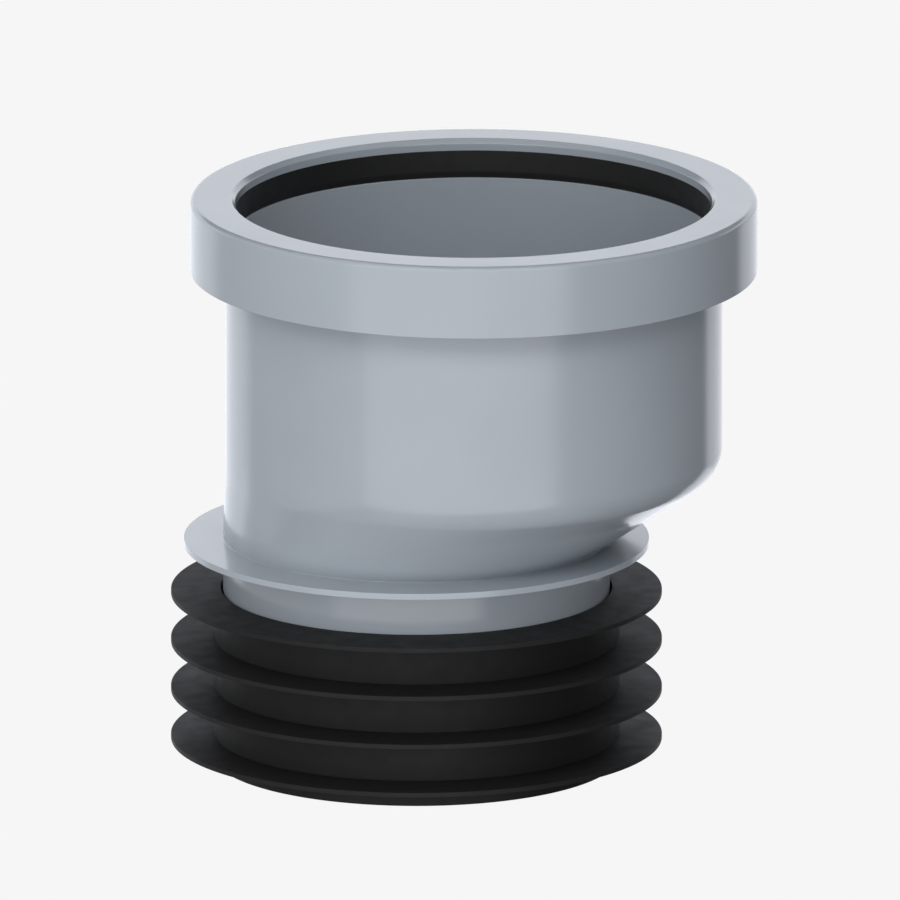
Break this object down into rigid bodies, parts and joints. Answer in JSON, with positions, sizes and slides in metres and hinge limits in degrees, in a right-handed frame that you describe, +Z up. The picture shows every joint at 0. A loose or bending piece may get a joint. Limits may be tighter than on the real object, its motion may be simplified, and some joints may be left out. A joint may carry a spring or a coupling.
{
  "type": "offset drain connector",
  "caption": "Offset drain connector: a grey ring-seal pipe socket set off to one side of a smaller spigot that carries a black finned rubber sleeve.",
  "frame": {"origin": "on the spigot's axis, at the lower end of the rubber sleeve", "axes": "+Z up along the spigot towards the socket; +X from the spigot's axis towards the socket's axis; the XZ plane is the plane of symmetry"},
  "size_m": [0.1364, 0.132, 0.134],
  "materials": {
    "grey_plastic": "semi-gloss moulded",
    "grey_plastic_collar": "semi-gloss moulded",
    "black_seal_rubber": "satin",
    "black_sleeve_rubber": "satin"
  },
  "bodies": {
    "root": {"connector_body": "grey_plastic", "retaining_collar": "grey_plastic_collar", "socket_ring_seal": "black_seal_rubber", "finned_sleeve": "black_sleeve_rubber"}
  },
  "joints": []
}
